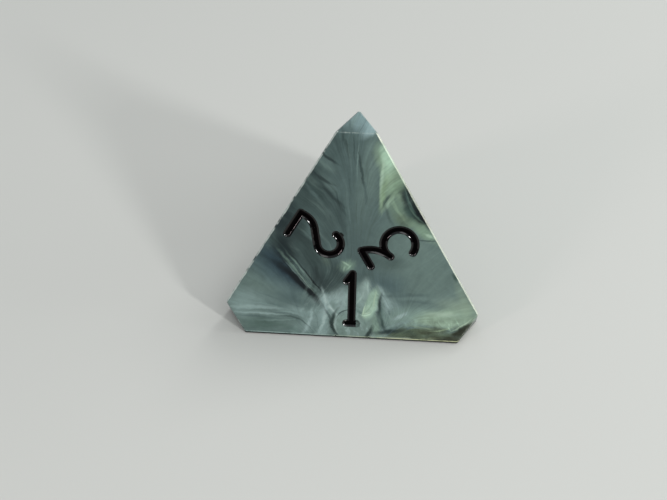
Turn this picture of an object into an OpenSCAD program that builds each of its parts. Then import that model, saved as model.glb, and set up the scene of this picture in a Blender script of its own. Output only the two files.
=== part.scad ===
// Four-sided die: a tetrahedron with its four corners cut off. Every face has three engraved
// numerals, one along each edge, filled with ink. Origin: middle of the base face, +Z up, mm.

/* [Die] */
// length of a long edge if the corners were whole
edge_len = 21.5; // [20.5:0.5:32]
// side of the small triangle where a corner is cut off
corner_cut = 3.0; // [2:0.1:4]
// width of the narrow flat that breaks each edge
edge_break = 0.16; // [0.06:0.02:0.3]

/* [Numerals] */
// height of a 2, 3 or 4 over the outsides of its strokes
numeral_h = 4.4; // [3.6:0.1:4.5]
// width of an engraved stroke
stroke_w = 0.62; // [0.5:0.02:0.66]
// depth of the engraving
engrave_depth = 0.3; // [0.22:0.02:0.34]
// from the edge of the face to the foot of a numeral 1
inset_1 = 0.98; // [0.8:0.02:1.1]
// from the edge of the face to the foot of a numeral 2
inset_2 = 0.76; // [0.7:0.02:1]
// from the edge of the face to the foot of a numeral 3
inset_3 = 1.14; // [0.9:0.02:1.2]
// from the edge of the face to the foot of a numeral 4
inset_4 = 0.98; // [0.8:0.02:1.1]

/* [Ink] */
// how far under the face the ink ends at the sides of a stroke
ink_below = 0.03; // [0.02:0.01:0.05]
// how much lower the ink is along the middle of a stroke
ink_hollow = 0.12; // [0.06:0.01:0.12]
// clearance between the ink and the engraving
ink_gap = 0.01; // [0.005:0.005:0.02]
// length at the right end of the front numeral 1's foot that the ink missed
ink_missed = 0.33; // [0.1:0.01:0.4]

/* [Gate mark] */
// radius of the ring line left where the mould was filled
gate_r = 1.55; // [1.3:0.05:1.8]
// width of the ring line
gate_line = 0.08; // [0.06:0.01:0.12]
// depth of the ring line
gate_depth = 0.04; // [0.02:0.01:0.06]
// from the edge of the face to the middle of the ring
gate_inset = 1.16; // [1.1:0.02:1.3]
// from the middle of the edge to the middle of the ring
gate_aside = 0.1; // [-0.3:0.1:0.3]
// how much of the ring is there, in degrees around its lowest point
gate_arc = 190; // [170:5:210]

/* [Hidden] */
$fn = 48;

dihedral = acos(1 / 3);
// from the middle of the whole tetrahedron to a face, and to the flat of a cut corner
face_h = edge_len / (2 * sqrt(6));
cut_h = 3 * face_h - corner_cut * sqrt(2 / 3);
// from the middle of a face, or of the flat of a cut corner, to its edges
face_y = edge_len / (2 * sqrt(3));
cut_y = corner_cut / (2 * sqrt(3));
block = 3 * edge_len;

// a numeral is drawn on a grid of ten units to its height, with its foot at y = 0
u = numeral_h / 10;
half_w = stroke_w / 2;
top_y = numeral_h - half_w;
// strokes end and join in balls a hair thicker than the stroke
swell = 1.004;
// radii of the round-nosed cutter, of the ink that fills its groove and of the ink's hollow
cutter_r = (half_w * half_w + engrave_depth * engrave_depth) / (2 * engrave_depth);
ink_r = cutter_r - ink_gap;
hollow_r = (half_w * half_w + ink_hollow * ink_hollow) / (2 * ink_hollow);

resin = [0.36, 0.45, 0.46];
black = [0.03, 0.02, 0.03];

/* ---- where things go ---- */

function turn_of(face) = face == "right" ? 120 : face == "left" ? -120 : 0;

// puts what lies flat with its outside up on the middle of a face
module on_face(face) {
  if (face == "base")
    rotate([0, 180, 0]) children();
  else
    translate([0, 0, face_h])
      rotate([0, 0, turn_of(face)]) rotate([dihedral, 0, 0])
        translate([0, 0, face_h]) children();
}

// the same on the flat of the cut corner opposite that face
module on_cut(face) {
  translate([0, 0, face_h])
    rotate([0, 0, turn_of(face)]) rotate([face == "base" ? 0 : dihedral - 180, 0, 0])
      translate([0, 0, cut_h])
        rotate([0, 0, face == "base" ? 0 : 180]) children();
}

// turns what was drawn for the bottom edge of a triangle to its bottom, right or left edge
module along_edge(name) {
  rotate([0, 0, name == "right" ? 120 : name == "left" ? 240 : 0]) children();
}

/* ---- body ---- */

// all the material under z = 0
module under() {
  translate([-block / 2, -block / 2, -block]) cube(block);
}

// all the material under the narrow flat on a triangle's bottom edge, where two faces meet
module under_break(edge_y, angle) {
  translate([0, -edge_y, 0])
    rotate([90 - angle / 2, 0, 0])
      translate([0, 0, -edge_break / 2 / tan(angle / 2)])
        under();
}

// what the face, its cut corner and the edges counted to them leave of a block
module face_and_cut(face) {
  intersection() {
    on_face(face) under();
    on_cut(face) under();
    on_cut(face) under_break(cut_y, 180 - dihedral);
    on_cut(face) along_edge("right") under_break(cut_y, 180 - dihedral);
    on_cut(face) along_edge("left") under_break(cut_y, 180 - dihedral);
    if (face == "base") on_face(face) under_break(face_y, dihedral);
    if (face == "base") on_face(face) along_edge("left") under_break(face_y, dihedral);
    on_face(face) along_edge("right") under_break(face_y, dihedral);
  }
}

module gate_mark() {
  on_face("front")
    translate([gate_aside, gate_inset - face_y, -gate_depth])
      rotate([0, 0, -90 - gate_arc / 2])
        rotate_extrude(angle = gate_arc)
          translate([gate_r - gate_line / 2, 0]) square([gate_line, 2 * gate_depth]);
}

module body() {
  color(resin)
    difference() {
      intersection() {
        face_and_cut("front");
        face_and_cut("right");
        face_and_cut("left");
        face_and_cut("base");
      }
      for (face = ["front", "right", "left", "base"])
        for (edge = ["bottom", "right", "left"])
          on_numeral(face, edge)
            strokes(numeral(number_at(face, edge)), cutter_r, cutter_r - engrave_depth);
      gate_mark();
    }
}

/* ---- numerals ---- */

// each face has a number of its own, and a numeral tells the face beyond the edge it stands on:
// the number along all three bottom edges is that of the face the die lies on
function number_at(face, edge) =
  let (n = edge == "bottom" ? 0 : edge == "right" ? 1 : 2)
    face == "front" ? [1, 3, 2][n]
    : face == "right" ? [1, 2, 4][n]
    : face == "left" ? [1, 4, 3][n]
    : [4, 2, 3][n];

// puts a numeral drawn with its foot at y = 0 in its place on a face
module on_numeral(face, edge) {
  on_face(face) along_edge(edge)
    translate([0, [inset_1, inset_2, inset_3, inset_4][number_at(face, edge) - 1] - face_y, 0])
      children();
}

// a stroke is a list of pieces: a straight line, or an arc about c between two angles
function line(a, b) = ["line", a, b];
function arc(c, r, from, to) = ["arc", c, r, from, to];
function polar(r, angle) = r * [cos(angle), sin(angle)];
function direction(v) = atan2(v.y, v.x);
function first(p) = p[0] == "line" ? p[1] : p[1] + polar(p[2], p[3]);
function last(p) = p[0] == "line" ? p[2] : p[1] + polar(p[2], p[4]);

function numeral(n) =
  n == 1 ? one() : n == 2 ? two() : n == 3 ? three() : four();

function one() =
  let (top = [0, 10.5 * u - half_w])
    [
      line([0, half_w], top),
      line(top, [-0.95 * u, 8.35 * u]),
      line([-0.82 * u, half_w], [0.82 * u, half_w])
    ];

// a bowl and a foot arc joined by their inner tangent, then the base line
function two() =
  let (
    r1 = 1.95 * u,
    c1 = [-0.68 * u, top_y - r1],
    r2 = 3.07 * u,
    c2 = [0.23 * u, 1.6 * u],
    t = direction(c2 - c1) + acos((r1 + r2) / norm(c2 - c1)),
    foot = [c2.x - r2, half_w]
  )
    [
      arc(c1, r1, t, 175),
      line(c1 + polar(r1, t), c2 - polar(r2, t)),
      arc(c2, r2, t + 180, 180),
      line([foot.x, c2.y], foot),
      line(foot, [1.5 * u, half_w])
    ];

// a flat top, a slightly curved diagonal to the tip of the middle arm, and a bowl
function three() =
  let (
    r1 = 2.61 * u,
    c1 = [-0.7 * u, half_w + r1],
    corner = [1.18 * u, top_y],
    tip = c1 + polar(r1, 118),
    r2 = 5.1 * u,
    v = tip - corner,
    c2 = (corner + tip) / 2 + sqrt(r2 * r2 - v * v / 4) * [v.y, -v.x] / norm(v)
  )
    [
      line([-2 * u, top_y], corner),
      arc(c2, r2, direction(tip - c2), direction(corner - c2)),
      arc(c1, r1, -151, 108)
    ];

function four() =
  let (top = [1.25 * u, top_y], left = [-2.9 * u, 3.05 * u])
    [
      line([top.x, half_w], top),
      line(top, left),
      line(left, [2.75 * u, left.y])
    ];

// sweeps a round bar of radius r along the pieces, its middle at height z
module strokes(pieces, r, z) {
  for (p = pieces) {
    bar(p, r, z);
    for (at = [first(p), last(p)])
      translate([at.x, at.y, z]) sphere(swell * r);
  }
}

module bar(p, r, z) {
  translate([p[1].x, p[1].y, z])
    if (p[0] == "line")
      rotate([0, 0, direction(p[2] - p[1])]) rotate([0, 90, 0])
        cylinder(r = r, h = norm(p[2] - p[1]));
    else
      rotate([0, 0, min(p[3], p[4])])
        rotate_extrude(angle = abs(p[4] - p[3])) translate([p[2], 0]) circle(r);
}

// the ink of one numeral: it fills the groove to just under the face, hollow along the middle;
// missed is how much of it is wanting at the right end of the numeral's last stroke
module ink(face, edge, missed = 0) {
  pieces = numeral(number_at(face, edge));
  right_end = last(pieces[len(pieces) - 1]).x + half_w;
  color(black)
    on_numeral(face, edge)
      difference() {
        intersection() {
          strokes(pieces, ink_r, cutter_r - engrave_depth);
          translate([0, 0, -ink_below]) under();
        }
        strokes(pieces, hollow_r, hollow_r - ink_hollow - ink_below);
        if (missed > 0) translate([right_end - missed, -1, -1]) cube([1, 2, 2]);
      }
}

body();
ink("front", "bottom", ink_missed);  // ink_front_bottom
ink("front", "right");  // ink_front_right
ink("front", "left");  // ink_front_left
ink("right", "bottom");  // ink_right_bottom
ink("right", "right");  // ink_right_right
ink("right", "left");  // ink_right_left
ink("left", "bottom");  // ink_left_bottom
ink("left", "right");  // ink_left_right
ink("left", "left");  // ink_left_left
ink("base", "bottom");  // ink_base_bottom
ink("base", "right");  // ink_base_right
ink("base", "left");  // ink_base_left
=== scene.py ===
"""A four-sided die of marbled resin: its finishes, its floor, its light and its camera."""

import math

import bpy
from mathutils import Matrix, Vector


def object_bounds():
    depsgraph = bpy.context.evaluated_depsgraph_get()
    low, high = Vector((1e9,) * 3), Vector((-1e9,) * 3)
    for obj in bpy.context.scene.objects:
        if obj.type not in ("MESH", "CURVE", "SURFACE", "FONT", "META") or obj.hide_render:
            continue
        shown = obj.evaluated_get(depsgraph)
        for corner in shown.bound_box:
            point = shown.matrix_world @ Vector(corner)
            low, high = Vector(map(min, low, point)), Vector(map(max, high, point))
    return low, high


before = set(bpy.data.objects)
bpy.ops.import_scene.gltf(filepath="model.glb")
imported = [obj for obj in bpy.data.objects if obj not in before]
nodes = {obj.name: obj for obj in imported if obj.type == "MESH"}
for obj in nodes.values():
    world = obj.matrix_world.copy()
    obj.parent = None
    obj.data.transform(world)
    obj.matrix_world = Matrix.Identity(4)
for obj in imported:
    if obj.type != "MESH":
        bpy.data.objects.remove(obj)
cad_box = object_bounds()

# ---------------------------------------------------------------- the die's own frame

# A regular tetrahedron standing on its base face. Each face has an outward normal, and all lie equally far
# from the middle, which is a quarter of the sharp height above the base.
NORMALS = {
    "front": Vector((0, -math.sqrt(8) / 3, 1 / 3)),
    "right": Vector((math.sqrt(6) / 3, math.sqrt(2) / 3, 1 / 3)),
    "left": Vector((-math.sqrt(6) / 3, math.sqrt(2) / 3, 1 / 3)),
    "base": Vector((0, 0, -1)),
}
DESIGN_EDGE = 21.5  # a whole edge of the tetrahedron, in design millimetres

body_points = [v.co for v in nodes["body"].data.vertices]
# the origin lies in the base, and the front face is 4/3 as far from it as from the middle
inner = 0.75 * max(p.dot(NORMALS["front"]) for p in body_points)
middle = Vector((0, 0, inner))
top_cut = max(p.z for p in body_points) - middle.z
floor_z = cad_box[0].z
MM = inner / (DESIGN_EDGE / math.sqrt(24))  # one design millimetre in scene metres
face_centre = middle + inner * NORMALS["front"]
face_up = Vector((0, 1 / 3, math.sqrt(8) / 3))


def linear(level):
    """One channel of a display colour, 0 to 255, as the linear value that a shader takes."""
    return ((level / 255 + 0.055) / 1.055) ** 2.4 if level > 10 else level / 255 / 12.92


def srgb(r, g, b):
    return linear(r), linear(g), linear(b), 1.0


# ---------------------------------------------------------------- shader nodes


class Nodes:
    """Adds nodes to one tree. Sockets or plain values go in, and sockets come out."""

    def __init__(self, tree):
        self.tree = tree

    def add(self, kind, *values, out=0, **props):
        node = self.tree.nodes.new("ShaderNode" + kind)
        for name, value in props.items():
            setattr(node, name, value)
        for socket, value in zip(node.inputs, values):
            self.put(socket, value)
        return node.outputs[out]

    def put(self, socket, value):
        if isinstance(value, bpy.types.NodeSocket):
            self.tree.links.new(value, socket)
        else:
            socket.default_value = value

    def object_point(self):
        return self.add("TexCoord", out="Object")

    def math(self, operation, *values):
        return self.add("Math", *values, operation=operation)

    def vector(self, operation, *values, out=0):
        return self.add("VectorMath", *values, operation=operation, out=out)

    def reach(self, vector, axis):
        """How far a vector reaches along an axis."""
        return self.vector("DOT_PRODUCT", vector, tuple(axis), out="Value")

    def join(self, x, y, z=0.0):
        return self.add("CombineXYZ", x, y, z)

    def grey(self, value):
        return self.join(value, value, value)

    def smooth(self, value, start, end, low=0.0, high=1.0):
        """low at start, high at end, and a smooth step between."""
        return self.add("MapRange", value, start, end, low, high, interpolation_type="SMOOTHSTEP")

    def noise(self, vector, scale, detail=2.0, roughness=0.5, distortion=0.0, out=0):
        node = self.tree.nodes.new("ShaderNodeTexNoise")
        values = dict(Vector=vector, Scale=scale, Detail=detail, Roughness=roughness, Distortion=distortion)
        for name, value in values.items():
            self.put(node.inputs[name], value)
        return node.outputs[out]

    def mix(self, share, first, second):
        """One colour over another. The node keeps its colours in sockets 6 and 7, and gives one at 2."""
        node = self.tree.nodes.new("ShaderNodeMix")
        node.data_type = "RGBA"
        self.put(node.inputs[0], share)
        self.put(node.inputs[6], first)
        self.put(node.inputs[7], second)
        return node.outputs[2]

    def ramp(self, value, *stops):
        """stops: (place, colour) pairs."""
        node = self.tree.nodes.new("ShaderNodeValToRGB")
        elements = node.color_ramp.elements
        while len(elements) < len(stops):
            elements.new(0.5)
        for element, (place, colour) in zip(elements, stops):
            element.position = place
            element.color = colour
        self.put(node.inputs[0], value)
        return node.outputs[0]

    def use(self, group, **values):
        node = self.tree.nodes.new("ShaderNodeGroup")
        node.node_tree = group
        for name, value in values.items():
            self.put(node.inputs[name.replace("_", " ")], value)
        return node.outputs


def new_group(name, inputs, outputs):
    """A new node group: (the group, its Nodes, its input sockets, a function that sets an output)."""
    tree = bpy.data.node_groups.new(name, "ShaderNodeTree")
    for title, value in inputs.items():
        socket = tree.interface.new_socket(title, in_out="INPUT", socket_type="NodeSocketFloat")
        socket.default_value = value
    for title in outputs:
        tree.interface.new_socket(title, in_out="OUTPUT", socket_type="NodeSocketFloat")
    source = tree.nodes.new("NodeGroupInput")
    sink = tree.nodes.new("NodeGroupOutput")
    return tree, Nodes(tree), source.outputs, lambda title, value: tree.links.new(value, sink.inputs[title])


def make_face_frame():
    """Where a point is in the front face's own frame, in design mm: X across, Y up, Depth inwards."""
    tree, n, _, give = new_group("Front face frame", {}, ("X", "Y", "Depth"))
    place = n.vector("SUBTRACT", n.object_point(), tuple(face_centre))
    for title, axis in ("X", Vector((1, 0, 0))), ("Y", face_up), ("Depth", -NORMALS["front"]):
        give(title, n.reach(place, axis / MM))
    return tree


def make_edge_nearness():
    """How far a point is from the nearest long edge, and from the rim of a cut corner, in design mm.

    A point on the skin lies in one plane of the die, and how near it is to a second plane is how near it is
    to an edge. The four faces come first, so that halfway the long edges are known without the cuts."""
    tree, n, _, give = new_group("Edge nearness", {}, ("Edge", "Rim"))
    place = n.vector("SUBTRACT", n.object_point(), tuple(middle))
    nearest, second = -1.0, -1.0
    faces = [(normal, inner) for normal in NORMALS.values()]
    cuts = [(-normal, top_cut) for normal in NORMALS.values()]
    for title, planes in ("Edge", faces), ("Rim", cuts):
        for normal, distance in planes:
            depth = n.math("SUBTRACT", n.reach(place, normal), distance)
            second = n.math("MAXIMUM", second, n.math("MINIMUM", nearest, depth))
            nearest = n.math("MAXIMUM", nearest, depth)
        give(title, n.math("MULTIPLY", second, -1 / MM))
    return tree


def make_flow():
    """The flow of the resin from its gate, as a place across the streaks, which bend towards the sides."""
    spot = {"X": 0.0, "Y": 0.0, "Depth": 0.0}
    tree, n, at, give = new_group("Flow from the gate", spot, ("Across", "Along"))
    wander = n.noise(n.join(at["X"], at["Y"], at["Depth"]), 0.2, detail=3.0, out="Color")
    wander = n.vector("SUBTRACT", wander, (0.5, 0.5, 0.5))
    wander = n.vector("MULTIPLY", wander, n.grey(n.smooth(at["Depth"], 0.5, 6.0, 1.6, 7.0)))
    x = n.math("ADD", at["X"], n.reach(wander, (1, 0, 0)))
    y = n.math("ADD", at["Y"], n.reach(wander, (0, 1, 0)))
    side = n.math("ABSOLUTE", x)
    # low down, the streaks start from either side of the gate and lie flat further out
    spread = n.smooth(y, 0.0, -4.0, 0.0, 2.2)
    clear = n.math("MAXIMUM", n.math("SUBTRACT", side, spread), 0.0)
    drop = n.math("MULTIPLY", n.smooth(side, 5.0, 2.2, 0.0, 1.6), n.smooth(y, -2.0, -4.0))
    rise = n.math("ADD", n.math("ADD", y, 4.6), drop)
    # higher up, they lean out like the barbs of a feather
    outer = n.math("MULTIPLY_ADD", n.math("MAXIMUM", n.math("SUBTRACT", clear, 2.0), 0.0), 0.5, 1.0)
    lean = n.math("MULTIPLY", n.math("MAXIMUM", n.math("SUBTRACT", y, outer), 0.0), 0.12)
    clear = n.math("DIVIDE", clear, n.math("MULTIPLY_ADD", clear, lean, 1.0))
    angle = n.math("ARCTAN2", clear, rise)
    across = n.math("LOGARITHM", n.math("MULTIPLY_ADD", angle, 16.0, 1.0), math.e)
    give("Across", n.math("MULTIPLY", across, n.math("SIGN", x)))
    give("Along", n.math("SQRT", n.math("MULTIPLY_ADD", x, x, n.math("MULTIPLY", rise, rise))))
    return tree


def make_cloud():
    """A placed cloud of pigment: a turned and bent ellipse with a soft edge that the streaks break up."""
    inputs = {
        "X": 0.0, "Y": 0.0, "Depth": 0.0, "Grain": 0.0,
        "At X": 0.0, "At Y": 0.0, "Turn": 0.0, "Length": 1.0, "Width": 1.0,
        "Bend": 0.0, "Soft": 0.5, "Break": 0.3, "Deep": 2.5,
    }
    tree, n, given, give = new_group("Pigment cloud", inputs, ("Mask",))
    turn = n.math("RADIANS", given["Turn"])
    cosine, sine = n.math("COSINE", turn), n.math("SINE", turn)
    x = n.math("SUBTRACT", given["X"], given["At X"])
    y = n.math("SUBTRACT", given["Y"], given["At Y"])
    along = n.math("MULTIPLY_ADD", x, cosine, n.math("MULTIPLY", y, sine))
    aside = n.math("SUBTRACT", n.math("MULTIPLY", y, cosine), n.math("MULTIPLY", x, sine))
    bow = n.math("MULTIPLY", n.math("MULTIPLY", along, along), given["Bend"])
    spot = n.join(
        n.math("DIVIDE", along, given["Length"]),
        n.math("DIVIDE", n.math("SUBTRACT", aside, bow), given["Width"]),
        n.math("DIVIDE", given["Depth"], given["Deep"]),
    )
    far = n.math("MULTIPLY_ADD", given["Grain"], given["Break"], n.vector("LENGTH", spot, out="Value"))
    outside = n.math("ADD", 1.0, given["Soft"])
    inside = n.math("SUBTRACT", 1.0, given["Soft"])
    give("Mask", n.smooth(far, outside, inside))
    return tree


FACE = make_face_frame()
EDGE = make_edge_nearness()
FLOW = make_flow()
CLOUD = make_cloud()

# ---------------------------------------------------------------- the colours of the resin

SLATE = srgb(82, 101, 99)
DARK_SLATE = srgb(56, 71, 69)
DEEP_SLATE = srgb(42, 54, 54)
LIGHT_SLATE = srgb(99, 119, 113)
TEAL = srgb(112, 134, 129)
PALE_TEAL = srgb(127, 149, 145)
WHITISH = srgb(150, 171, 168)
MINT = srgb(168, 200, 175)
PALE_GREEN = srgb(163, 190, 166)
YELLOW_GREEN = srgb(188, 213, 186)
GREEN = srgb(133, 158, 135)
MOSS = srgb(100, 118, 101)
OLIVE = srgb(84, 98, 78)
DARK_OLIVE = srgb(50, 54, 40)
HAZE_BLUE = srgb(62, 82, 88)
NAVY = srgb(38, 56, 65)
NIGHT = srgb(12, 20, 24)
DARK_GREEN = srgb(30, 42, 38)

# The clouds of pigment that show on the front face, from the lowest to the topmost; those of the top cut
# are partly painted light. The wide ones:
# across, up, turn, half length, half width, bend, softness, break-up, colour, strength, depth
GROUND_CLOUDS = [
    # shades of the ground
    (0.3, 2.4, 88, 3.6, 1.7, 0, 0.9, 0.2, DARK_SLATE, 0.28, 3),
    (-4.1, 4.0, 60, 4.8, 1.3, 0, 0.9, 0.3, DARK_SLATE, 0.9, 3),
    (-5.25, 2.9, 60, 1.3, 0.6, 0, 0.8, 0.5, srgb(30, 42, 44), 0.95, 2.5),
    (-4.2, 2.1, 55, 0.9, 0.5, 0, 0.9, 0.4, srgb(36, 50, 48), 0.9, 2),
    (-2.2, 3.7, -62, 1.8, 0.9, 0, 0.9, 0.6, DARK_SLATE, 0.65, 2),
    (-1.3, 4.2, -66, 1.3, 0.5, 0, 0.9, 0.6, DARK_SLATE, 0.45, 2),
    (-2.0, 1.8, -60, 0.9, 0.5, 0, 0.9, 0.6, DARK_SLATE, 0.6, 2),
    (2.5, 0.1, -10, 1.5, 0.65, 0, 0.9, 0.4, DARK_SLATE, 0.7, 2),
    (1.0, -1.0, 60, 0.6, 0.4, 0, 0.9, 0.4, DARK_SLATE, 0.5, 2),
    (5.2, 1.0, -58, 1.2, 0.5, 0, 0.9, 0.4, TEAL, 0.75, 2),
    (5.0, 1.95, -40, 0.7, 0.25, 0, 0.9, 0.4, SLATE, 0.6, 2),
    (5.4, -0.4, -58, 4.8, 2.6, 0, 0.7, 0.4, LIGHT_SLATE, 0.95, 4),
    (1.2, 7.4, 80, 3.4, 0.75, 0, 0.8, 0.6, LIGHT_SLATE, 0.85, 3),
    (-5.8, -2.9, -10, 4.0, 1.7, 0, 0.8, 0.4, LIGHT_SLATE, 0.9, 4),
    (-7.3, -3.7, -4, 1.9, 0.9, 0, 0.9, 0.6, PALE_TEAL, 0.75, 3),
    (-8.1, -4.4, 70, 1.4, 0.6, 0, 0.8, 0.5, PALE_TEAL, 0.6, 2),
    (-4.6, -3.2, -16, 1.6, 0.55, 0, 0.9, 0.5, SLATE, 0.85, 2),
    (-5.2, -4.0, -8, 1.4, 0.45, 0, 0.9, 0.3, SLATE, 0.8, 2),
    (6.1, -3.0, -5, 0.9, 0.3, 0, 0.9, 0.4, SLATE, 0.5, 2),
    (-2.0, 7.5, -50, 0.8, 0.4, 0, 0.9, 0.4, TEAL, 0.35, 2),
    (-3.9, 0.7, -50, 0.9, 0.5, 0, 0.9, 0.3, DEEP_SLATE, 0.4, 2),
    (-2.0, 0.1, -60, 0.5, 0.25, 0, 0.9, 0.3, srgb(92, 108, 92), 0.6, 2),
    (-3.9, -4.1, -20, 0.9, 0.35, 0, 0.9, 0.6, PALE_TEAL, 0.75, 2),
    (-6.4, -5.3, 0, 3.4, 0.7, 0, 0.7, 0.6, LIGHT_SLATE, 0.8, 3),
    (-2.8, -0.6, -55, 2.4, 1.0, 0, 0.7, 0.6, DARK_SLATE, 0.8, 2),
    (-2.1, -1.8, -48, 1.2, 0.6, 0, 0.8, 0.6, DEEP_SLATE, 0.8, 2),
    (-1.0, -1.1, -64, 1.2, 0.55, 0, 0.9, 0.5, srgb(50, 64, 62), 0.85, 1.5),
    (-4.9, 1.5, 60, 1.8, 0.7, 0, 0.8, 0.6, DEEP_SLATE, 0.85, 2.5),
    (-3.6, 0.9, -50, 1.2, 0.7, 0, 0.9, 0.6, DARK_SLATE, 0.8, 2),
    (-3.0, 0.7, -60, 1.2, 0.5, 0, 0.9, 0.5, srgb(50, 64, 62), 0.7, 2),
    (-2.95, 5.6, -48, 1.0, 0.5, 0, 0.9, 0.5, DARK_SLATE, 0.55, 2),
    (-1.9, 6.0, -45, 0.8, 0.3, 0, 0.9, 0.5, TEAL, 0.4, 1.5),
    (1.1, 8.1, 85, 0.9, 0.4, 0, 0.9, 0.5, TEAL, 0.5, 2),
    (-5.0, -2.2, -20, 1.0, 0.4, 0, 0.9, 0.5, TEAL, 0.5, 2),
    (2.6, -1.7, 0, 1.1, 0.8, 0, 0.9, 0.4, HAZE_BLUE, 0.45, 2),
    (1.95, -2.4, -70, 0.6, 0.3, 0, 0.9, 0.4, PALE_TEAL, 0.6, 2),
    (8.25, -3.2, -72, 1.7, 0.4, 0, 0.8, 0.4, srgb(134, 154, 134), 0.75, 2),
    # the top cut, painted lighter than the front as painted light where it faces up, lightest towards the
    # right
    (0.5, 10.7, 0, 1.7, 0.75, 0, 0.5, 0.4, srgb(136, 161, 162), 0.85, 3.2),
    (1.1, 10.1, 40, 0.8, 0.3, 0, 0.7, 0.4, srgb(150, 175, 176), 0.8, 3.2),
    (-0.5, 10.0, -66, 0.6, 0.1, 0, 0.8, 0.3, SLATE, 0.8, 2.0),
    # the pale zone round the gate
    (0.2, -3.6, 8, 2.3, 1.5, 0, 0.5, 0.5, srgb(122, 144, 138), 0.92, 2),
    (0.1, -5.2, 0, 1.7, 1.1, 0, 0.4, 0.3, srgb(118, 139, 131), 0.85, 1.5),
    (-2.1, -4.7, 84, 1.7, 0.45, 0, 0.6, 0.7, PALE_TEAL, 0.85, 1.5),
    (-3.0, -4.9, 66, 1.3, 0.5, 0, 0.8, 0.8, PALE_TEAL, 0.75, 1.5),
    (-2.2, -5.85, 60, 0.6, 0.35, 0, 0.8, 0.8, PALE_TEAL, 0.8, 1.5),
    (-4.1, -5.75, 80, 0.6, 0.3, 0, 0.8, 0.8, TEAL, 0.7, 1.5),
    (2.0, -5.9, 10, 0.6, 0.22, 0, 0.8, 0.8, srgb(140, 160, 148), 0.8, 1.5),
    (-3.1, -5.1, 70, 0.8, 0.12, 0.2, 0.8, 0.6, WHITISH, 0.8, 1),
    (-1.9, -3.0, 12, 0.9, 0.3, 0, 0.8, 0.8, WHITISH, 0.6, 1.2),
    (-0.75, -3.0, 86, 0.85, 0.34, 0, 0.7, 0.7, WHITISH, 0.65, 1.2),
    (0.85, -2.4, 80, 1.0, 0.42, 0, 0.7, 0.6, srgb(134, 156, 149), 0.8, 1.2),
    (-1.85, -3.2, -66, 0.85, 0.13, 0.1, 0.8, 0.6, srgb(168, 188, 184), 0.75, 1),
    (-2.0, -4.6, 80, 1.2, 0.12, 0.1, 0.8, 0.7, srgb(164, 185, 181), 0.7, 1),
    (-1.4, -3.9, -50, 0.55, 0.05, 0, 0.8, 0.4, srgb(172, 191, 186), 0.7, 1),
    (1.15, -2.0, 92, 0.5, 0.05, 0, 0.8, 0.3, srgb(170, 192, 184), 0.7, 0.8),
    (0.75, -2.6, 66, 0.7, 0.05, 0.2, 0.8, 0.3, srgb(160, 182, 174), 0.6, 0.8),
    (2.32, -2.65, -68, 0.8, 0.13, 0, 0.8, 0.5, WHITISH, 0.75, 1),
    (2.6, -3.2, -72, 0.45, 0.18, 0, 0.8, 0.6, srgb(158, 180, 177), 0.7, 1),
    (1.8, -4.9, -82, 1.0, 0.3, 0, 0.7, 0.6, srgb(126, 151, 134), 0.75, 1),
    (2.05, -3.75, -84, 1.2, 0.17, 0, 0.8, 0.5, srgb(60, 80, 75), 0.85, 1.2),
    (2.9, -3.2, -50, 1.1, 0.35, 0, 0.9, 0.6, PALE_TEAL, 0.65, 1.2),
]

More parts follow.
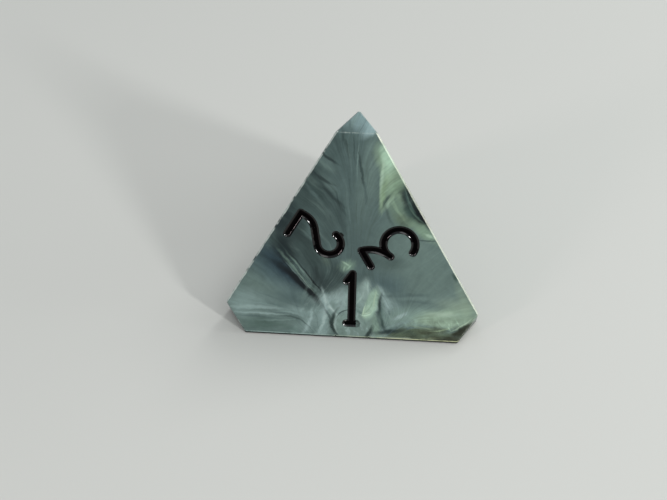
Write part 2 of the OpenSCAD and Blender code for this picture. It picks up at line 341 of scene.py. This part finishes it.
# The finer ones, which lie over the wisps of the gate, with the same columns
FINE_CLOUDS = [
    # dark arcs of the gate
    (-1.42, -5.0, 94, 1.0, 0.15, -0.33, 0.6, 0.3, srgb(30, 44, 42), 0.9, 0.7),
    (-1.75, -4.2, -62, 0.7, 0.07, 0, 0.7, 0.5, DARK_SLATE, 0.7, 0.7),
    (1.33, -5.65, 60, 0.6, 0.12, 0.33, 0.6, 0.3, srgb(34, 48, 44), 0.9, 0.7),
    (-0.72, -4.03, 38, 0.6, 0.05, -0.4, 0.6, 0.3, DARK_SLATE, 0.9, 0.6),
    (-1.2, -5.1, 92, 0.6, 0.06, -0.4, 0.8, 0.4, srgb(152, 172, 166), 0.7, 0.6),
    (0.55, -4.0, -30, 0.6, 0.12, 0, 0.8, 0.6, srgb(88, 112, 106), 0.6, 0.8),
    (1.0, -2.05, 85, 0.6, 0.26, 0, 0.9, 0.2, srgb(150, 172, 165), 0.7, 1),
    (-1.05, -1.5, -72, 0.9, 0.4, 0, 0.9, 0.2, DARK_SLATE, 0.45, 1),
    (-2.0, -4.0, 80, 0.55, 0.2, 0, 0.9, 0.4, WHITISH, 0.5, 1),
    # the green drop beside the numeral
    (2.02, -3.4, 88, 0.9, 0.09, -0.08, 0.7, 0.2, DEEP_SLATE, 0.9, 1),
    (2.0, -4.1, -84, 0.5, 0.14, 0, 0.8, 0.2, srgb(50, 68, 64), 0.8, 1),
    (2.2, -4.6, -66, 0.8, 0.16, 0, 0.8, 0.4, DEEP_SLATE, 0.85, 1),
    (1.48, -3.05, 74, 1.05, 0.4, 0, 0.35, 0.3, srgb(148, 176, 156), 0.85, 1),
    (1.15, -3.9, 62, 0.55, 0.3, 0, 0.3, 0.2, srgb(160, 187, 162), 0.9, 0.8),
    (1.42, -3.7, 68, 0.8, 0.32, 0, 0.4, 0.3, srgb(154, 182, 164), 0.85, 0.8),
    (1.1, -4.2, 18, 0.36, 0.06, 0.6, 0.6, 0.2, srgb(184, 212, 190), 0.9, 0.7),
    (1.12, -4.02, 18, 0.22, 0.035, 0.9, 0.7, 0.2, YELLOW_GREEN, 0.7, 0.7),
    (0.9, -3.8, 80, 0.4, 0.045, 0, 0.7, 0.2, YELLOW_GREEN, 0.8, 0.7),
    (1.3, -3.6, 60, 0.5, 0.04, 0.2, 0.7, 0.2, GREEN, 0.7, 0.6),
    (1.65, -2.9, 82, 0.7, 0.05, 0, 0.8, 0.3, srgb(168, 192, 164), 0.6, 0.6),
    (-0.4, -0.3, 20, 0.5, 0.36, 0, 0.8, 1.2, srgb(122, 148, 130), 0.8, 0.8),
    (-0.5, -0.15, -30, 0.24, 0.07, 0, 0.8, 0.6, PALE_GREEN, 0.7, 0.6),
    (-0.25, -0.42, 50, 0.2, 0.06, 0, 0.8, 0.6, MINT, 0.5, 0.6),
    (-0.62, -0.5, 75, 0.2, 0.06, 0, 0.8, 0.6, PALE_GREEN, 0.5, 0.6),
    # a blot where the ink of the 2 ran over
    (-0.86, 2.14, -40, 0.2, 0.11, 0, 0.3, 0.1, srgb(4, 3, 3), 1.0, 0.3),
    # greens of the right edge
    (2.75, 6.7, -63, 2.4, 0.78, 0, 0.35, 0.5, GREEN, 0.92, 1.6),
    (1.86, 6.4, 88, 1.8, 0.12, -0.03, 0.7, 0.3, PALE_GREEN, 0.8, 1),
    (2.2, 8.0, -70, 0.85, 0.36, 0, 0.6, 0.5, MINT, 0.95, 1.2),
    (2.2, 7.0, 82, 0.8, 0.25, 0, 0.8, 0.5, MINT, 0.5, 1),
    (2.05, 5.5, 84, 1.1, 0.22, 0, 0.8, 0.5, srgb(140, 166, 130), 0.85, 1),
    (2.6, 6.1, 80, 0.8, 0.4, 0, 0.8, 0.6, srgb(148, 174, 146), 0.6, 1),
    (3.0, 4.4, -54, 1.4, 0.7, 0, 0.8, 0.9, srgb(108, 131, 113), 0.85, 1.4),
    (2.55, 5.0, 62, 0.8, 0.12, 0, 0.8, 0.6, PALE_GREEN, 0.6, 1),
    (2.9, 4.5, -60, 1.0, 0.07, 0.05, 0.8, 0.6, GREEN, 0.6, 1),
    (3.2, 3.9, -52, 1.1, 0.07, 0.05, 0.8, 0.6, GREEN, 0.6, 1),
    (3.6, 3.35, -30, 0.8, 0.35, 0, 0.7, 0.7, OLIVE, 0.5, 1.2),
    (2.4, 3.75, -66, 0.7, 0.1, 0.1, 0.9, 0.6, DARK_SLATE, 0.6, 0.8),
    (2.7, 5.6, 46, 1.1, 0.055, -0.12, 0.7, 0.2, DARK_SLATE, 0.95, 0.8),
    (2.25, 4.9, 58, 0.7, 0.04, -0.1, 0.7, 0.2, DARK_SLATE, 0.8, 0.8),
    (2.9, 6.15, 34, 0.8, 0.06, -0.1, 0.8, 0.3, PALE_GREEN, 0.7, 0.8),
    (3.0, 6.05, 50, 0.7, 0.3, 0, 0.8, 0.4, GREEN, 0.6, 1),
    (4.5, 4.5, -61, 1.8, 0.88, 0, 0.3, 0.35, DARK_GREEN, 0.97, 1.8),
    (3.55, 5.15, -66, 0.8, 0.3, 0, 0.7, 0.5, DEEP_SLATE, 0.8, 1.2),
    (4.95, 3.75, -60, 1.1, 0.45, 0, 0.5, 0.6, NIGHT, 0.9, 1.4),
    (2.98, 5.98, 50, 0.75, 0.36, 0, 0.7, 0.2, srgb(126, 152, 128), 0.92, 1),
    (3.9, 3.95, -56, 0.6, 0.25, 0, 0.9, 0.3, srgb(62, 84, 78), 0.7, 1),
    (3.75, 5.05, -66, 0.9, 0.05, 0.12, 0.8, 0.4, srgb(82, 106, 98), 0.8, 0.8),
    (3.95, 4.5, -58, 1.0, 0.04, 0.08, 0.8, 0.4, srgb(64, 88, 82), 0.8, 0.8),
    (4.2, 4.9, -62, 1.0, 0.05, 0.04, 0.8, 0.4, MOSS, 0.6, 0.8),
    (4.3, 3.9, -50, 0.8, 0.05, 0.1, 0.8, 0.4, srgb(84, 108, 96), 0.7, 0.8),
    (5.0, 2.55, -38, 1.25, 0.42, 0, 0.5, 0.7, srgb(122, 148, 126), 0.85, 1.2),
    (5.4, 2.3, -20, 0.35, 0.1, 0, 0.7, 0.3, PALE_GREEN, 0.8, 0.7),
    (5.3, 1.95, -3, 0.75, 0.05, 0, 0.8, 0.2, DARK_SLATE, 0.9, 0.7),
    # the right foot
    (3.9, -2.45, 4, 1.6, 0.13, 0, 0.8, 0.6, SLATE, 0.7, 1.5),
    (4.9, -2.65, 2, 1.6, 0.13, 0, 0.8, 0.6, TEAL, 0.45, 1.5),
    (5.5, -2.95, -4, 1.2, 0.08, 0, 0.8, 0.5, SLATE, 0.8, 1.5),
    (7.35, -0.85, -60, 0.35, 0.14, 0, 0.7, 0.5, srgb(50, 72, 64), 0.8, 1),
    (7.8, -3.1, -6, 1.6, 0.55, 0, 0.8, 0.5, srgb(130, 150, 133), 0.85, 3),
    (4.6, -4.1, 12, 2.3, 0.75, 0, 0.6, 0.8, srgb(124, 148, 139), 0.9, 2),
    (6.9, -4.15, 6, 2.1, 0.85, 0, 0.5, 0.7, srgb(140, 163, 142), 0.92, 2.5),
    (6.7, -3.8, 0, 0.9, 0.2, 0, 0.8, 0.7, srgb(160, 182, 164), 0.6, 1),
    (7.75, -4.4, -55, 0.3, 0.05, 0, 0.8, 0.2, MINT, 0.5, 0.8),
    (7.2, -5.0, -62, 0.2, 0.04, 0, 0.8, 0.2, MINT, 0.4, 0.8),
    (3.58, -4.13, 30, 0.55, 0.13, 0, 0.7, 0.4, WHITISH, 0.8, 0.8),
    (3.6, -4.75, 22, 1.0, 0.1, 0, 0.8, 0.5, PALE_TEAL, 0.6, 0.8),
    (2.3, -4.75, -70, 0.5, 0.1, 0, 0.8, 0.3, srgb(48, 66, 62), 0.8, 1),
    (3.0, -5.45, 8, 1.1, 0.16, 0, 0.8, 0.4, DEEP_SLATE, 0.9, 1.2),
    (5.75, -5.7, 0, 2.6, 0.64, 0, 0.3, 1.0, srgb(86, 100, 79), 0.92, 2),
    (2.9, -5.42, 4, 0.75, 0.13, 0, 0.8, 0.3, srgb(36, 50, 50), 0.9, 1.2),
    (6.1, -5.15, 0, 0.9, 0.3, 0, 0.5, 0.9, srgb(84, 96, 78), 0.85, 1.5),
    (5.5, -5.4, 4, 0.7, 0.2, 0, 0.8, 1.2, srgb(58, 64, 48), 0.75, 1.2),
    (4.2, -5.45, -8, 0.6, 0.14, 0, 0.8, 1.2, srgb(64, 78, 66), 0.7, 1.2),
    (7.9, -5.5, 30, 1.6, 0.45, 0, 0.3, 0.7, DARK_OLIVE, 0.95, 2),
    (8.2, -4.98, 38, 1.0, 0.25, 0, 0.4, 0.3, srgb(40, 44, 32), 0.9, 2),
    (6.6, -5.75, 2, 1.3, 0.22, 0, 0.7, 0.8, srgb(54, 58, 44), 0.8, 1.2),
    (4.6, -5.75, 0, 0.8, 0.14, 0, 0.8, 0.8, srgb(66, 76, 62), 0.7, 1.2),
    (8.15, -4.62, 38, 0.9, 0.05, 0.08, 0.6, 0.3, srgb(158, 180, 156), 0.85, 0.8),
    (6.65, -5.12, 14, 0.75, 0.05, 0.2, 0.7, 0.4, srgb(140, 160, 130), 0.8, 0.8),
    (5.2, -4.95, -8, 0.9, 0.05, 0, 0.8, 0.5, srgb(118, 136, 112), 0.6, 0.8),
    (5.6, -5.85, 6, 0.7, 0.05, 0, 0.8, 0.5, srgb(120, 130, 100), 0.6, 0.8),
    (3.7, -5.97, -2, 1.0, 0.11, 0, 0.7, 0.7, srgb(152, 166, 150), 0.75, 1),
    # the dark streak of the left side, with pale ones beside it
    (-5.7, -0.8, -46, 2.2, 0.95, 0, 1.0, 0.4, HAZE_BLUE, 0.8, 2.5),
    (-4.95, -0.8, -46, 1.8, 0.5, 0, 0.8, 0.5, NAVY, 0.95, 2.5),
    (-5.05, 0.3, -50, 1.1, 0.42, 0, 0.8, 0.6, srgb(22, 34, 38), 0.9, 2.5),
    (-4.95, 1.1, -50, 1.0, 0.45, 0, 0.8, 0.4, srgb(30, 42, 42), 0.92, 2),
    (-5.7, 1.5, -60, 0.6, 0.3, 0, 0.7, 0.8, DARK_SLATE, 0.7, 2),
    (-3.82, -1.72, -44, 2.1, 0.28, -0.04, 0.6, 0.4, NIGHT, 1.0, 2),
    (-4.08, -0.84, -49, 1.75, 0.12, 0, 0.7, 1.0, srgb(92, 113, 104), 0.9, 1),
    (-4.5, -0.22, -20, 0.13, 0.05, 0, 0.8, 0.2, DARK_SLATE, 0.7, 0.8),
    (-4.0, -0.98, -24, 0.13, 0.04, 0, 0.8, 0.2, DARK_SLATE, 0.7, 0.8),
    (-3.5, -1.5, -76, 0.2, 0.04, 0, 0.8, 0.2, DEEP_SLATE, 0.7, 0.8),
    (-4.35, -0.85, -50, 0.7, 0.05, 0, 0.8, 0.8, TEAL, 0.6, 0.8),
    (-3.6, -1.75, -48, 0.6, 0.05, 0, 0.8, 0.8, PALE_TEAL, 0.5, 0.8),
    (-3.85, -0.6, -51, 1.7, 0.06, 0, 0.8, 0.6, srgb(104, 127, 117), 0.75, 0.8),
    (-4.0, -0.8, -50, 1.7, 0.03, 0.01, 0.7, 0.5, DEEP_SLATE, 0.85, 0.8),
    (-4.2, -1.1, -49, 1.4, 0.025, -0.01, 0.7, 0.5, NIGHT, 0.8, 0.8),
    (-3.3, -1.1, -52, 1.5, 0.085, -0.02, 0.6, 0.5, NIGHT, 0.85, 1),
    (-3.1, -1.45, -52, 1.1, 0.045, 0, 0.7, 0.5, TEAL, 0.8, 0.8),
    (-2.8, -1.75, -50, 0.8, 0.08, 0, 0.6, 0.5, NIGHT, 0.85, 1),
    (-2.5, -1.2, -58, 1.3, 0.12, 0, 0.8, 0.6, DEEP_SLATE, 0.6, 1),
    (-3.35, -2.3, -40, 0.85, 0.14, 0.03, 0.6, 0.2, NIGHT, 1.0, 1.5),
    (-3.47, -1.7, -52, 0.95, 0.03, 0, 0.7, 0.4, srgb(130, 150, 140), 0.7, 0.8),
    # dark touches of the left side
    (-4.95, 0.98, -55, 0.7, 0.38, 0, 0.9, 0.0, srgb(30, 42, 44), 0.85, 2),
    (-4.6, 2.0, -55, 0.8, 0.5, 0, 0.9, 0.0, DEEP_SLATE, 0.45, 2),
    (-5.1, 3.0, 60, 0.9, 0.4, 0, 0.9, 0.0, srgb(36, 48, 50), 0.8, 2),
    (-2.95, 5.8, -55, 1.1, 0.5, 0, 0.9, 0.2, srgb(52, 68, 66), 0.7, 2),
    (3.0, 0.1, 0, 0.7, 0.4, 0, 0.9, 0.0, DARK_SLATE, 0.5, 2),
    # the left foot
    (-7.0, -3.95, 1, 1.9, 0.12, -0.02, 0.8, 0.6, srgb(142, 164, 160), 0.8, 1.2),
    (-6.9, -4.45, 0, 1.6, 0.07, 0, 0.8, 0.5, srgb(142, 164, 160), 0.8, 1),
    (-4.3, -4.3, -14, 1.3, 0.09, -0.12, 0.8, 0.5, PALE_TEAL, 0.8, 1),
    (-3.9, -4.75, -24, 1.0, 0.06, -0.25, 0.8, 0.3, DARK_SLATE, 0.7, 0.8),
    (-6.8, -4.75, -2, 1.3, 0.07, 0, 0.8, 0.5, SLATE, 0.8, 1),
    (-6.5, -5.35, 0, 1.2, 0.45, 0, 0.8, 0.7, srgb(76, 97, 90), 0.85, 1.5),
    (-4.7, -5.5, -20, 0.8, 0.14, 0, 0.8, 0.7, srgb(84, 106, 99), 0.6, 1.5),
    (-5.4, -4.95, 4, 1.2, 0.06, 0, 0.8, 0.6, TEAL, 0.7, 1),
    (-6.6, -4.2, 2, 1.4, 0.05, 0, 0.8, 0.6, LIGHT_SLATE, 0.7, 1),
    (-7.2, -3.6, -6, 1.2, 0.06, 0, 0.8, 0.7, PALE_TEAL, 0.5, 1),
    (-5.9, -3.75, -14, 1.3, 0.05, 0, 0.8, 0.6, TEAL, 0.6, 1),
    (-5.2, -3.3, -18, 1.4, 0.06, 0, 0.8, 0.5, SLATE, 0.6, 1),
    # barbs and fine streaks of the upper half
    (-2.0, 7.9, -37, 0.85, 0.09, 0.08, 0.7, 0.4, DEEP_SLATE, 0.85, 1),
    (-2.2, 7.35, -38, 0.8, 0.12, 0, 0.8, 0.5, LIGHT_SLATE, 0.5, 1),
    (-2.9, 6.6, -40, 0.8, 0.3, 0, 0.8, 0.6, DARK_SLATE, 0.5, 1.5),
    (-2.5, 6.4, -33, 0.95, 0.11, 0.08, 0.7, 0.5, DEEP_SLATE, 0.75, 1),
    (-1.7, 5.1, -47, 1.15, 0.11, 0.08, 0.7, 0.5, DEEP_SLATE, 0.8, 1),
    (-2.9, 5.1, -50, 0.9, 0.12, 0, 0.8, 0.5, SLATE, 0.7, 1),
    (-0.95, 4.2, -58, 0.7, 0.09, 0, 0.8, 0.5, DARK_SLATE, 0.7, 1),
    (-0.75, 9.0, -74, 0.9, 0.1, 0, 0.7, 0.4, DARK_SLATE, 0.85, 1),
    (0.42, 7.0, -79, 1.6, 0.09, 0, 0.7, 0.4, DARK_SLATE, 0.9, 1),
    (0.12, 7.8, 89, 1.2, 0.05, 0, 0.8, 0.3, TEAL, 0.7, 0.8),
    (-0.15, 8.6, -86, 0.9, 0.05, 0, 0.8, 0.3, DARK_SLATE, 0.6, 0.8),
    (0.75, 5.2, -84, 1.0, 0.07, 0, 0.8, 0.4, SLATE, 0.8, 0.8),
]

# Wide areas of the front face, as values for the cloud group. The streaks are faint in the calm middle, at
# the foot and round the gate, and the pale ones are dimmed in one place. Resin is mottled where it is mossy
# or torn.
ZONES = {
    "calm": dict(At_X=3.2, At_Y=0.2, Turn=-35.0, Length=4.4, Width=2.2, Soft=0.7, Depth=0.0),
    "foot": dict(At_X=-5.4, At_Y=-3.9, Turn=-8.0, Length=3.8, Width=1.9, Soft=0.5, Depth=0.0),
    "gate": dict(At_X=-0.2, At_Y=-4.3, Length=3.2, Width=2.0, Soft=0.5, Deep=3.0),
    "dimmed": dict(At_X=-4.9, At_Y=2.0, Turn=60.0, Length=2.4, Width=0.8, Soft=0.6),
    "mossy": dict(At_X=6.2, At_Y=-5.3, Length=3.4, Width=1.0, Soft=0.4, Deep=4.0),
    "torn": dict(At_X=-4.2, At_Y=-0.8, Turn=-50.0, Length=2.4, Width=0.5, Soft=0.5),
}


def find_streaks(n, spot):
    """Streaks along the flow, as noise from 0 to 1: broad ones, and ones as thin as hairs."""
    flow = n.use(FLOW, **spot)
    along = n.math("MULTIPLY", flow["Along"], 0.2)
    inwards = n.math("MULTIPLY", spot["Depth"], 0.12)
    broad = n.noise(n.join(n.math("MULTIPLY", flow["Across"], 4.2), along, inwards), 1.0, 5.0, 0.58)
    hairs = n.noise(n.join(n.math("MULTIPLY", flow["Across"], 30.0), along, inwards), 1.0, 3.0, 0.6)
    return broad, hairs


def ground_colour(n, point, depth, grain):
    """The colour under the clouds: calm on the front, swirled through the rest of the block."""
    swirl = n.noise(n.vector("ADD", point, (31.0, 7.0, 3.0)), 0.13, 4.0, 0.55, distortion=1.8)
    swirled = n.ramp(
        n.math("MULTIPLY_ADD", grain, 0.16, swirl),
        (0.26, NIGHT), (0.34, DARK_GREEN), (0.42, DARK_SLATE), (0.5, SLATE),
        (0.58, LIGHT_SLATE), (0.66, GREEN), (0.74, PALE_TEAL),
    )
    within = n.smooth(n.math("MULTIPLY_ADD", swirl, 3.0, n.math("SUBTRACT", depth, 1.5)), 0.4, 2.4)
    return n.mix(within, SLATE, swirled)


def fray(n, point, spot, grain):
    """The place that the clouds read. It wanders a little, so that their outlines fray."""
    wander = n.vector("SUBTRACT", n.noise(point, 1.3, 3.0, 0.6, out="Color"), (0.5, 0.5, 0.5))
    x = n.math("MULTIPLY_ADD", n.reach(wander, (1, 0, 0)), 0.3, spot["X"])
    y = n.math("MULTIPLY_ADD", n.reach(wander, (0, 1, 0)), 0.3, spot["Y"])
    return dict(X=x, Y=y, Depth=spot["Depth"], Grain=grain)


def lay_clouds(n, colour, clouds, place):
    """Lays each cloud over the colour so far. place: where the shaded point is, for the cloud group."""
    for across, up, turn, length, width, bend, soft, broken, pigment, strength, deep in clouds:
        cloud = n.use(
            CLOUD, **place, At_X=across, At_Y=up, Turn=turn, Length=length, Width=width,
            Bend=bend, Soft=soft, Break=broken, Deep=deep,
        )
        colour = n.mix(n.math("MULTIPLY", cloud["Mask"], strength), colour, pigment)
    return colour


def lay_gate_wisps(n, colour, place, gate):
    """Wisps that fall from above the gate like the water of a fountain."""
    fall = n.math("SQRT", n.math("MAXIMUM", n.math("SUBTRACT", -1.2, place["Y"]), 0.2))
    jet = n.join(
        n.math("DIVIDE", place["X"], fall),
        n.math("MULTIPLY", place["Y"], 0.3),
        n.math("MULTIPLY", place["Depth"], 0.3),
    )
    wisp = n.noise(jet, 3.4, 5.0, 0.66, distortion=0.6)
    pale = n.math("MULTIPLY", n.smooth(wisp, 0.5, 0.72, 0.0, 0.7), gate)
    dark = n.math("MULTIPLY", n.smooth(wisp, 0.46, 0.28, 0.0, 0.55), gate)
    colour = n.mix(pale, colour, srgb(158, 180, 175))
    return n.mix(dark, colour, srgb(74, 96, 91))


def shade_streaks(n, colour, point, zones, broad, hairs):
    """Shades the colour by the streaks, and by curls where it is mottled."""
    still = n.math("MAXIMUM", n.math("MAXIMUM", zones["calm"], zones["gate"]), zones["foot"])
    amount = n.math("MULTIPLY_ADD", still, -0.65, 1.0)
    dark = n.math("MULTIPLY", n.smooth(broad, 0.5, 0.26, 0.0, 0.6), amount)
    colour = n.mix(dark, colour, srgb(34, 46, 46))
    pale_amount = n.math("MULTIPLY", amount, n.math("SUBTRACT", 1.0, zones["dimmed"]))
    pale = n.math("MULTIPLY", n.smooth(broad, 0.52, 0.76, 0.0, 0.3), pale_amount)
    colour = n.mix(pale, colour, srgb(126, 148, 140))
    mottled = n.math("MAXIMUM", zones["mossy"], zones["torn"])
    uneven = n.math("MULTIPLY_ADD", mottled, 1.5, n.math("MULTIPLY_ADD", zones["gate"], 0.3, 0.42))
    curl = n.noise(point, 1.6, 5.0, 0.66, distortion=0.8)
    curl = n.math("MULTIPLY", n.math("SUBTRACT", curl, 0.5), uneven)
    fine = n.math("MULTIPLY", n.math("SUBTRACT", hairs, 0.5), n.math("MULTIPLY", amount, 0.75))
    return n.vector("MULTIPLY", colour, n.grey(n.math("ADD", n.math("ADD", curl, fine), 1.0)))


def wear_and_highlight_edges(n, colour, point, spot, nibble):
    """Pale wear on the narrow flats along the edges, with a painted highlight along them on the right.
    Returns the colour and a mask of the flats.
    """
    edge = n.use(EDGE)
    wavy = n.math("MULTIPLY", n.math("SUBTRACT", nibble, 0.5), 0.13)
    flats = n.smooth(n.math("ADD", wavy, edge["Edge"]), 0.145, 0.11)
    rims = n.smooth(n.math("MULTIPLY_ADD", wavy, 1.2, edge["Rim"]), 0.07, 0.02)
    # in patches of wear on the left, evenly on the right as a painted highlight line, and strongest at the
    # top cut
    patches = n.smooth(n.noise(n.vector("ADD", point, (5.0, 9.0, 2.0)), 1.1, 4.0, 0.75), 0.37, 0.52)
    lower_first = n.smooth(spot["Y"], 2.0, 5.0, 0.62, 0.45)
    even_painted_highlight = n.math("MULTIPLY", lower_first, n.smooth(nibble, 0.3, 0.55, 0.7, 1.0))
    rightward = n.smooth(spot["X"], -1.0, 2.0)
    share = n.math("MULTIPLY_ADD", n.math("SUBTRACT", even_painted_highlight, patches), rightward, patches)
    topmost = n.math("MULTIPLY", n.smooth(spot["Y"], 8.9, 9.3), n.smooth(nibble, 0.38, 0.55, 0.45, 0.9))
    share = n.math("MAXIMUM", share, topmost)
    wear_and_highlight = n.math("MULTIPLY", n.math("MAXIMUM", flats, n.math("MULTIPLY", rims, 0.6)), share)
    # bluish white wear on the left; on the right the cream of a painted highlight along the edge
    wear_and_highlight_colour = n.mix(rightward, srgb(198, 209, 202), srgb(213, 216, 198))
    return n.mix(wear_and_highlight, colour, wear_and_highlight_colour), flats


def paint_foot_shadow_and_lip(n, colour, across, nibble):
    """Along the very foot, a pale lip of wear and painted highlight over a dark line of painted shadow."""
    above = n.reach(n.vector("SUBTRACT", n.object_point(), (0.0, 0.0, floor_z)), (0, 0, 1 / MM))
    # the pale lip is partly wear and partly a painted highlight of the lower edge
    lip_wear_and_highlight = n.math("MULTIPLY", n.smooth(above, 0.29, 0.24), n.smooth(above, 0.19, 0.22))
    lip_wear_and_highlight = n.math("MULTIPLY", lip_wear_and_highlight, n.smooth(nibble, 0.35, 0.55, 0.2, 0.85))
    left_to_right = n.math("MULTIPLY_ADD", across, 1 / 16, 0.5)
    lip_wear_and_highlight_colour = n.ramp(left_to_right, (0.3, srgb(150, 172, 166)), (0.75, srgb(196, 200, 160)))
    colour = n.mix(lip_wear_and_highlight, colour, lip_wear_and_highlight_colour)
    # the dark line is painted shadow, where the bottom edge meets the floor
    return n.mix(n.smooth(above, 0.21, 0.18), colour, srgb(20, 24, 22))


# ---------------------------------------------------------------- materials


def new_material(name):
    """An empty material and its Nodes."""
    material = bpy.data.materials.new(name)
    material.use_nodes = True
    material.node_tree.nodes.clear()
    return material, Nodes(material.node_tree)


def shade(n, colour, roughness, relief, strength, height):
    """A principled shader over a relief, its height in design millimetres.

    Returns the shader's input sockets, and its normal for a coat."""
    shader = n.tree.nodes.new("ShaderNodeBsdfPrincipled")
    bump = n.tree.nodes.new("ShaderNodeBump")
    n.put(bump.inputs["Strength"], strength)
    n.put(bump.inputs["Distance"], height * MM)
    n.put(bump.inputs["Height"], relief)
    n.put(shader.inputs["Base Color"], colour)
    n.put(shader.inputs["Roughness"], roughness)
    n.put(shader.inputs["Normal"], bump.outputs[0])
    result = n.tree.nodes.new("ShaderNodeOutputMaterial")
    n.put(result.inputs["Surface"], shader.outputs[0])
    return shader.inputs, bump.outputs[0]


def make_resin():
    """Satin resin, marbled in shades of grey, teal and green as it filled the mould."""
    material, n = new_material("marbled_resin")
    face = n.use(FACE)
    spot = dict(X=face["X"], Y=face["Y"], Depth=face["Depth"])
    point = n.join(face["X"], face["Y"], face["Depth"])
    broad, hairs = find_streaks(n, spot)
    grain = n.math("MULTIPLY", n.math("SUBTRACT", broad, 0.5), 2.4)
    place = fray(n, point, spot, grain)
    zones = {name: n.use(CLOUD, **{**spot, **values})["Mask"] for name, values in ZONES.items()}

    colour = ground_colour(n, point, face["Depth"], grain)
    colour = lay_clouds(n, colour, GROUND_CLOUDS, place)
    colour = lay_gate_wisps(n, colour, place, zones["gate"])
    colour = lay_clouds(n, colour, FINE_CLOUDS, place)
    colour = shade_streaks(n, colour, point, zones, broad, hairs)
    nibble = n.noise(point, 2.6, 4.0, 0.75)
    colour, flats = wear_and_highlight_edges(n, colour, point, spot, nibble)
    colour = paint_foot_shadow_and_lip(n, colour, face["X"], nibble)

    # a slow ripple all over, with pits that are deeper on the worn flats
    ripple = n.noise(point, 0.55, 2.0, 0.5)
    pits = n.noise(point, 7.0, 3.0, 0.6)
    relief = n.math("MULTIPLY_ADD", pits, n.math("MULTIPLY_ADD", flats, 0.12, 0.008), ripple)
    roughness = n.math("MULTIPLY_ADD", n.noise(point, 0.9, 3.0, 0.6), 0.12, 0.24)
    shader, _ = shade(n, colour, roughness, relief, strength=0.3, height=0.1)
    shader["IOR"].default_value = 1.5
    shader["Specular IOR Level"].default_value = 0.25
    return material


def make_ink():
    """Black ink that dried as a wet-looking bead: its steep sides are glossier than its flat middle."""
    material, n = new_material("gloss_ink")
    face = n.use(FACE)
    point = n.join(face["X"], face["Y"], face["Depth"])
    pool = n.noise(point, 0.9, 3.0, 0.6)
    colour = n.ramp(pool, (0.3, srgb(1, 1, 1)), (0.7, srgb(5, 2, 3)))
    # a small bubble in the foot of the front 1, shown as a grey dot: a painted highlight
    away = n.vector("DISTANCE", n.join(face["X"], face["Y"]), (-0.43, -4.74, 0.0), out="Value")
    bubble_glint = n.math("MULTIPLY", n.smooth(away, 0.09, 0.03, 0.0, 0.8), n.smooth(face["Depth"], 2.0, 1.0))
    colour = n.mix(bubble_glint, colour, srgb(150, 150, 146))

    facing = n.add("TexCoord", out="Normal")
    level = -1.0
    for outward in NORMALS.values():
        level = n.math("MAXIMUM", level, n.reach(facing, outward))
    roughness = n.math("MULTIPLY_ADD", pool, 0.1, 0.2)
    relief = n.noise(point, 1.9, 2.0, 0.5)
    shader, normal = shade(n, colour, roughness, relief, strength=0.2, height=0.05)
    n.put(shader["Coat Normal"], normal)
    n.put(shader["Coat Weight"], n.smooth(level, 0.965, 0.9, 0.02, 0.7))
    shader["Specular IOR Level"].default_value = 0.015
    shader["Coat Roughness"].default_value = 0.06
    shader["Coat IOR"].default_value = 1.55
    return material


resin, ink = make_resin(), make_ink()
for name, node in nodes.items():
    for slot in node.material_slots:
        slot.material = ink if name.startswith("ink") else resin

# ---------------------------------------------------------------- floor, light and camera


def lay_floor():
    """A plain pale floor under the die."""
    bpy.ops.mesh.primitive_plane_add(size=2.0, location=(0, 0, floor_z))
    floor = bpy.context.object
    floor.name = "floor"
    paper = bpy.data.materials.new("pale_floor")
    paper.use_nodes = True
    shader = paper.node_tree.nodes["Principled BSDF"]
    shader.inputs["Base Color"].default_value = srgb(201, 202, 197)
    shader.inputs["Roughness"].default_value = 0.9
    floor.data.materials.append(paper)


def light_sky():
    """A pale studio sky, dim at the horizon and brighter overhead."""
    world = bpy.data.worlds.new("studio")
    bpy.context.scene.world = world
    world.use_nodes = True
    n = Nodes(world.node_tree)
    background = world.node_tree.nodes["Background"]
    background.inputs["Color"].default_value = (0.92, 0.97, 1.0, 1.0)
    height = n.reach(n.add("TexCoord", out="Generated"), (0, 0, 1))
    n.put(background.inputs["Strength"], n.smooth(height, 0.05, 0.7, 0.1, 0.56))


def area_light(name, azimuth, elevation, distance, width, height, power, colour=(1, 1, 1)):
    """A soft box that looks at the die's middle, its place and size in degrees and design millimetres.

    Azimuth runs from straight ahead (0) round to the right (90)."""
    a, e = math.radians(azimuth), math.radians(elevation)
    away = Vector((math.sin(a) * math.cos(e), -math.cos(a) * math.cos(e), math.sin(e)))
    data = bpy.data.lights.new(name, "AREA")
    data.shape = "RECTANGLE"
    data.size, data.size_y = width * MM, height * MM
    data.energy = power
    data.color = colour
    light = bpy.data.objects.new(name, data)
    bpy.context.scene.collection.objects.link(light)
    light.location = middle + away * distance * MM
    light.rotation_mode = "QUATERNION"
    light.rotation_quaternion = (-away).to_track_quat("-Z", "Y")


def place_camera(at, ahead, right, lens):
    """A camera at a place in design millimetres, level with the direction called right."""
    data = bpy.data.cameras.new("camera")
    data.sensor_width = 36
    data.lens = lens
    data.clip_start, data.clip_end = 0.002, 10
    camera = bpy.data.objects.new("camera", data)
    bpy.context.scene.collection.objects.link(camera)
    turned = Matrix((right, right.cross(ahead), -ahead)).transposed().to_4x4()
    camera.matrix_world = Matrix.Translation(at * MM) @ turned
    bpy.context.scene.camera = camera


lay_floor()
light_sky()
area_light("key", 22, 50, 300, 150, 110, 0.12)
area_light("glint", 47.5, 24.5, 300, 18, 54, 0.36)
area_light("glint_left", -46, 22, 300, 8, 100, 0.11, (1.0, 0.82, 0.84))
area_light("back", 128, 48, 300, 140, 110, 0.30)
area_light("side", 98, 10, 220, 160, 40, 0.13)
place_camera(
    at=Vector((4.512, -77.286, 75.146)),
    ahead=Vector((-0.05906, 0.73022, -0.68066)),
    right=Vector((0.99704, 0.07670, -0.00422)),
    lens=75.6,
)
bpy.context.scene.view_settings.view_transform = "Standard"
